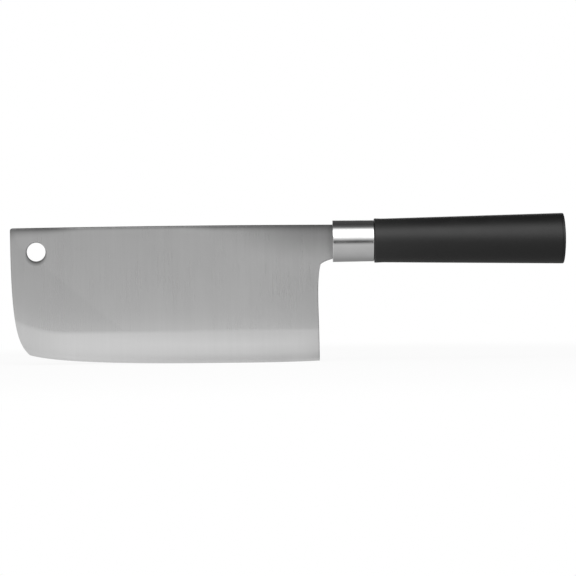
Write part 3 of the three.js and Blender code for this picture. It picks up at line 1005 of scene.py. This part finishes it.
capSizes = {
    "seamGap": 0.08,
    "seamRounding": 0.1,
    "edgeRounding": 0.22,
    "buttInset": 0.16,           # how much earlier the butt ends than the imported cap
    "dome": 0.95,                # fall of the dome from its middle to its rim
    "rimInset": 1.3,             # that rim, inside the outer radius
    "ringInset": 1.1,            # outermost ring of points on the dome
    "domeSteps": 12,
    "spigotRadius": 9.9,
    "spigotWall": 2.2,
    "spigotRounding": 0.4,
    "shoulderRounding": 0.2,     # where the spigot meets the cap
    "hollowRounding": 0.3,       # floor and mouth of the hollow spigot
    "mouthRounding": 0.2,
}


def makeEndCap(finish):
    sizes = capSizes
    seam = alongMm(gripHigh.x) + sizes["seamGap"]
    butt = alongMm(capHigh.x) - sizes["buttInset"]
    spigotFront = alongMm(capLow.x)
    radius = (capHigh.z - capLow.z) / 2 / mm
    spigot = sizes["spigotRadius"]
    hollow = spigot - sizes["spigotWall"]
    domeRim = radius - sizes["rimInset"]
    domeRadius = (domeRim ** 2 + sizes["dome"] ** 2) / (2 * sizes["dome"])

    def domeX(r):
        return butt - domeRadius + math.sqrt(domeRadius ** 2 - r ** 2)

    corners = [
        (seam, 0, 0),
        (seam, hollow, sizes["hollowRounding"]),
        (spigotFront, hollow, sizes["mouthRounding"]),
        (spigotFront, spigot, sizes["spigotRounding"]),
        (seam, spigot, sizes["shoulderRounding"]),
        (seam, radius, sizes["seamRounding"]),
        (domeX(radius), radius, sizes["edgeRounding"]),
    ]
    for r in np.linspace(radius - sizes["ringInset"], 0, sizes["domeSteps"]):
        corners.append((domeX(r), r, 0))
    return turnPiece("cleaver_end_cap", roundedProfile(corners), finish)


# Stage, in metres: pale floor, white surround, one large softbox and flags that only the gloss sees

cameraSizes = {"distance": 1.2, "span": 0.3171, "roll": 0.74, "along": -0.000155, "height": 0.0408}


def makeCamera(sizes):
    lens = bpy.data.cameras.new("photoCamera")
    lens.lens = lens.sensor_width * sizes["distance"] / sizes["span"]
    camera = addObject("photoCamera", lens)
    roll = math.radians(sizes["roll"])
    right = Vector((math.cos(roll), 0, -math.sin(roll)))
    up = Vector((math.sin(roll), 0, math.cos(roll)))
    back = Vector((0, -1, 0))
    turned = Matrix((right, up, back)).transposed().to_4x4()
    camera.matrix_world = Matrix.Translation((sizes["along"], -sizes["distance"], sizes["height"])) @ turned
    bpy.context.scene.camera = camera


# 1 for rays from the camera and for what metal and glass show, else 0.
def seenDirectly(tree):
    path = addNode(tree, "ShaderNodeLightPath").outputs
    seen = calc(tree, "MAXIMUM", path["Is Camera Ray"], path["Is Glossy Ray"])
    return calc(tree, "MAXIMUM", seen, path["Is Transmission Ray"])


def mixed(tree, share, first, second):
    return addNode(tree, "ShaderNodeMixShader", {0: share, 1: first, 2: second}).outputs[0]


# A flat card between two opposite corners.
def addCard(name, low, high, finish):
    thin = min(range(3), key=lambda axis: high[axis] - low[axis])
    first = (thin + 1) % 3
    far, near = list(low), list(high)
    far[first], near[first] = high[first], low[first]
    mesh = bpy.data.meshes.new(name)
    mesh.from_pydata([low, far, high, near], [], [(0, 1, 2, 3)])
    mesh.materials.append(finish)
    return addObject(name, mesh)


stageSizes = {
    "floorReach": 6.0,
    "floorTone": 0.9,
    "floorRoughness": 0.9,
    "floorLift": 0.9,            # share of plain white in the floor that shows the shadow
    "shadowReach": 0.45,         # from here outwards the floor is plain white
    "ambient": 0.45,             # strength of the surround as a light
}


def makeWorld(sizes):
    world = bpy.data.worlds.new("whiteSurround")
    world.use_nodes = True
    tree = world.node_tree
    background = tree.nodes["Background"]
    background.inputs["Color"].default_value = (1, 1, 1, 1)
    feed(tree, background.inputs["Strength"], ranged(tree, seenDirectly(tree), 0, 1, sizes["ambient"], 1))
    bpy.context.scene.world = world


def makeFloor(sizes):
    finish, tree, shader = newFinish("paleFloor")
    tone = sizes["floorTone"]
    shader.inputs["Base Color"].default_value = (tone, tone, tone, 1)
    shader.inputs["Roughness"].default_value = sizes["floorRoughness"]
    shader.inputs["Specular IOR Level"].default_value = 0
    # the shadow is kept near the object and the floor turns pure white further out
    away = lengthOf(tree, objectPlace(tree))
    reach = sizes["shadowReach"]
    lift = ranged(tree, away, reach / 2, reach, sizes["floorLift"], 1, "SMOOTHSTEP")
    glow = addNode(tree, "ShaderNodeEmission").outputs[0]
    lit = mixed(tree, calc(tree, "MULTIPLY", lift, seenDirectly(tree)), shader.outputs[0], glow)
    # seen from below the floor is clear
    under = addNode(tree, "ShaderNodeNewGeometry").outputs["Backfacing"]
    surface = mixed(tree, under, lit, addNode(tree, "ShaderNodeBsdfTransparent").outputs[0])
    feed(tree, tree.nodes["Material Output"].inputs["Surface"], surface)
    side = sizes["floorReach"]
    addCard("paleFloor", (-side, -side, 0), (side, side, 0), finish)


softboxSizes = {"elevation": 43.0, "distance": 1.0, "width": 1.5, "height": 1.16, "radiance": 1.5}


def makeSoftbox(sizes):
    lamp = bpy.data.lights.new("softbox", "AREA")
    lamp.shape = "RECTANGLE"
    lamp.size, lamp.size_y = sizes["width"], sizes["height"]
    lamp.energy = sizes["radiance"] * math.pi * sizes["width"] * sizes["height"]
    box = addObject("softbox", lamp)
    lean = math.radians(sizes["elevation"])
    towards = Vector((0, -math.cos(lean), math.sin(lean)))
    box.location = Vector((0, 0, handleAxis)) + towards * sizes["distance"]
    box.rotation_euler = towards.to_track_quat("Z", "Y").to_euler()
    box.visible_camera = False


# Flags that only the gloss sees: two opposite corners, and stops of brightness along one axis
flags = {
    "topFlag": {
        "low": (-0.9, -0.25, 0.52), "high": (0.9, 0.85, 0.52), "along": "Y",
        "stops": [(0, 1.5), (0.069, 0.96), (0.125, 0.33), (0.178, 0.15), (0.284, 0.07), (1, 0.12)],
    },
    "bladeFlag": {
        "low": (-0.9, -0.37, 0), "high": (0.026, -0.37, 0.25), "along": "Z",
        "stops": [(0, 0.9), (0.08, 0.68), (0.3, 0.66), (0.6, 0.4), (1, 0.2)],
    },
    "ferruleFlag": {
        "low": (0.026, -0.35, 0), "high": (0.075, -0.35, 0.20), "along": "Z",
        "stops": [(0, 0.12), (0.21, 0.12), (0.29, 0.2), (0.42, 0.41), (0.61, 0.83), (0.78, 1.28), (1, 1.6)],
    },
    "buttFlag": {
        "low": (0.45, -0.5, 0), "high": (0.45, 0.5, 0.4), "along": "Z",
        "stops": [(0, 0.2), (1, 0.2)],
    },
    "tipFlag": {
        "low": (-0.45, -0.5, 0), "high": (-0.45, 0.5, 0.4), "along": "Z",
        "stops": [(0, 0.6), (1, 0.6)],
    },
    "tableFlag": {
        "low": (0.020, -0.34, 0.0003), "high": (0.20, 1.50, 0.0003), "along": "Y",
        "stops": [
            (0, 0.12), (0.025, 0.22), (0.05, 0.45), (0.11, 0.66), (0.16, 0.59), (0.18, 0.51),
            (0.2, 0.37), (0.24, 0.30), (1, 0.25),
        ],
    },
}


def flagFinish(name, flag):
    finish, tree, _ = newFinish(name)
    axis = "XYZ".index(flag["along"])
    along = partsOf(tree, objectPlace(tree))[axis]
    share = ranged(tree, along, flag["low"][axis], flag["high"][axis], 0, 1)
    ramp = addNode(tree, "ShaderNodeValToRGB", {"Fac": share})
    stops = ramp.color_ramp.elements
    while len(stops) < len(flag["stops"]):
        stops.new(0.5)
    for stop, (at, value) in zip(stops, flag["stops"]):
        stop.position = at
        stop.color = (value, value, value, 1)
    glow = addNode(tree, "ShaderNodeEmission", {"Color": ramp.outputs["Color"]})
    feed(tree, tree.nodes["Material Output"].inputs["Surface"], glow.outputs[0])
    finish.cycles.emission_sampling = "NONE"
    return finish


def makeFlags():
    for name, flag in flags.items():
        card = addCard(name, flag["low"], flag["high"], flagFinish(name, flag))
        card.visible_camera = False
        card.visible_diffuse = False
        card.visible_shadow = False
        card.visible_transmission = False


makeCamera(cameraSizes)
makeWorld(stageSizes)
makeFloor(stageSizes)
makeSoftbox(softboxSizes)
makeFlags()
bpy.context.scene.view_settings.view_transform = "Standard"
print("stage: camera, floor, softbox and flags")

blackMoulding = mouldingFinish("blackGripMoulding", gripLook)
made = {
    "blade": (makeBlade(bladeFinish(bladeLook)), "blade_steel"),
    "ferrule": (makeFerrule(turnedSteelFinish("polishedFerruleSteel", ferruleLook)), "ferrule_steel"),
    "grip": (makeGrip(blackMoulding), "grip_plastic"),
    "end_cap": (makeEndCap(blackMoulding), "cap_plastic"),
}
for node, (piece, slot) in made.items():
    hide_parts(node)
    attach(piece, "root")
    print(piece.name, len(piece.data.polygons), "faces")
dressInnerNodes()
print("inner pieces dressed")
